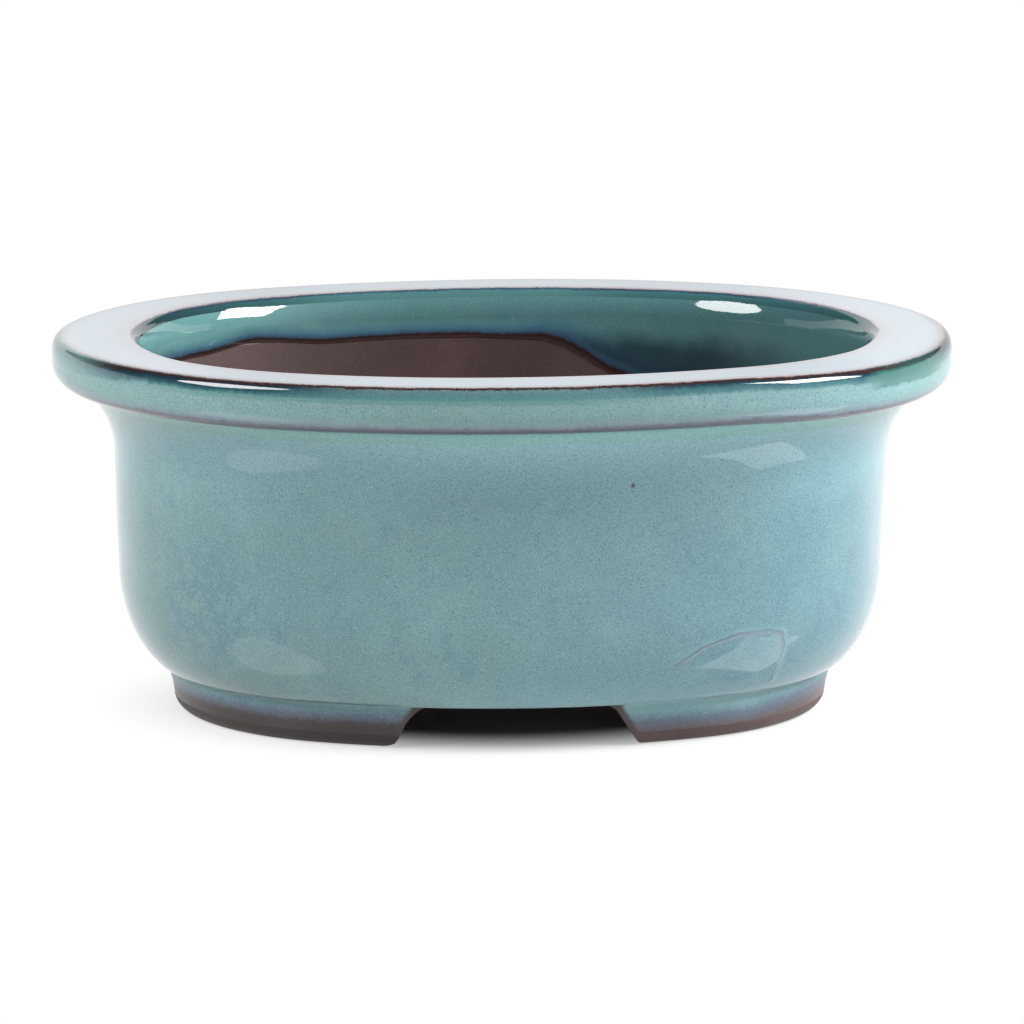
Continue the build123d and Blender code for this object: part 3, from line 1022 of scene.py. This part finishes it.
# The coat that ran down is thick and nearly navy at its bottom
low = calc(tree, "MULTIPLY", soft_step(tree, sunk, 76.0, 69.5),
           soft_step(tree, across, 0.078, 0.050))
navy = calc(tree, "MULTIPLY", low, soft_step(tree, across, 0.006, 0.024, 0.0, 0.85))
navy = calc(tree, "MULTIPLY", navy, soft_step(tree, edge, 1.0, 2.2))
colour = blend_colour(tree, navy, colour, navy_blue)
shine(tree, output, place, colour)

inner_path = (
    bend(throat_centre, throat_level, throat_round, inner_start, 180, 8)
    + run((throat_inset, throat_level), (throat_inset, inner_end), 4)[1:]
    + [(throat_inset, inner_end)]
)
behind = throat_inset - throat_coat
inner_glaze = start_piece("glaze_inside")
draw_section(
    inner_path
    + [(behind + 0.05, inner_end - 0.1)]
    + run((behind, inner_end), (behind, throat_level), 4)
    + back(bend(throat_centre, throat_level, throat_round - throat_coat, inner_start, 180, 8))
)
spin_round_plan()
mark_section(inner_glaze, inner_path, 0)


def glaze_end(x, y):
    """The level at which the inside glaze stops, seen from the pot's middle."""
    turns = sorted((math.atan2(spot_y, spot_x), level) for spot_x, spot_y, level in glaze_ends)
    turn = math.atan2(y, x)
    first, last = turns[0], turns[-1]
    turns = [(last[0] - 2 * math.pi, last[1])] + turns + [(first[0] + 2 * math.pi, first[1])]
    for (low, low_level), (high, high_level) in zip(turns, turns[1:]):
        if low <= turn <= high:
            part = smooth_between(turn, low, high) * 0.5 + (turn - low) / (high - low) * 0.5
            return low_level + (high_level - low_level) * part


edge_marks, level_marks = [], []
for point in inner_glaze.data.vertices:
    level = point.co.z / mm
    end = glaze_end(point.co.x / mm, point.co.y / mm)
    if level < throat_level:
        part = (throat_level - level) / (throat_level - inner_end)
        level = throat_level - part * (throat_level - end)
        point.co.z = level * mm
        outward = Vector((point.co.x, point.co.y, 0)).normalized()
        wall_inset = inside_top + (wall_top - min(level, wall_top)) * wall_lean
        set_back = (wall_inset + proud - throat_inset) * smooth_between(level, 77, 74)
        point.co -= outward * set_back * mm
    edge_marks.append(level - end)
    level_marks.append(level)
write_mark(inner_glaze, "edge", edge_marks)
write_mark(inner_glaze, "level", level_marks)
settle(inner_glaze)
finish_piece(inner_glaze, "glaze_inside", inner_coat)

# ----------------------------------------------------------
# Glaze on the feet: the coat thins out half way down their faces, in a fringe of blue
# specks over bare brown clay, and stops just short of the arch's cut edges.
# Bands by the level on the foot, and beside the arch by the distance from its middle
foot_fringe_and_light_stops = (
    (2.6, (0.078, 0.048, 0.046), 1.0), (3.6, (0.078, 0.068, 0.080), 1.0),
    (4.5, (0.080, 0.096, 0.135), 1.0), (5.7, (0.080, 0.115, 0.165), 1.0),
    (6.4, (0.095, 0.175, 0.225), 0.9), (7.2, (0.120, 0.255, 0.285), 0.75),
    # The highest bands are painted lighter, painted light where the belly shades the foot's top
    (8.6, (0.190, 0.350, 0.355), 0.7), (10.2, (0.205, 0.375, 0.380), 0.8))
cut_stops = ((27.0, (0.042, 0.024, 0.022), 1.0), (27.8, (0.045, 0.026, 0.024), 0.9),
             (28.7, (0.052, 0.030, 0.028), 0.0))
# The arch's middle and how much its cut edges lean, for the bare clay beside them
arch_middle, arch_lean = 0.0004, 0.55

foot_coat, tree, output = new_material("foot_glaze")
place, across, _, upward = pot_place(tree)
colour = speckled(tree, place, teal_glaze(tree, place))
sink = calc(tree, "ADD", soft_step(tree, across, -0.010, 0.010, 1.5, 0.0),
            soft_step(tree, across, 0.050, 0.068, 0.0, 1.5))
fall = calc(tree, "SUBTRACT", read_mark(tree, "level"), sink)
fall = ragged(tree, place, fall, 1.2, 1.6, 4.6)
colour = paint_along(tree, colour, fall, foot_fringe_and_light_stops)
# Painted shade: the left foot's lower part is painted darker
painted_left_shade = calc(tree, "MULTIPLY", soft_step(tree, across, 0.010, -0.010, 0.0, 0.85),
             soft_step(tree, fall, 5.4, 3.4))
colour = blend_colour(tree, painted_left_shade, colour, left_foot_shade)
side = calc(tree, "ABSOLUTE", calc(tree, "ADD", across, -arch_middle))
slant = calc(tree, "ADD", side, calc(tree, "MULTIPLY", upward, arch_lean))
slant = calc(tree, "MULTIPLY", slant, 1000)
near_cut = ragged(tree, place, slant, 0.5, 0.5, 0.6)
colour = paint_along(tree, colour, near_cut, cut_stops)
shine(tree, output, place, colour, roughness=0.34)

# How far the coat stands out from the seam down to its end, and at which levels
top_spot, thick_spot, thin_spot, end_spot = [
    (foot_inset - cover, level)
    for cover, level in ((1.25, seam_level + 0.1), (1.1, 8.2), (0.4, 5.6), (0, 3.0))
]
foot_path = (run(top_spot, thick_spot, 4) + run(thick_spot, thin_spot, 6)
             + run(thin_spot, end_spot, 6) + [end_spot])
foot_glaze = start_piece("glaze_foot")
draw_section(foot_path + [(foot_inset + 0.05, 3.3), (foot_inset + foot_taper, seam_level + 0.1)])
spin_round_plan()
for half, side in zip(cut_arch(foot_glaze), ("left", "right")):
    half.name = f"glaze_foot_{side}"
    half.data.name = half.name
    mark_section(half, foot_path, 0)
    settle(half)
    finish_piece(half, f"glaze_foot_{side}", foot_coat)
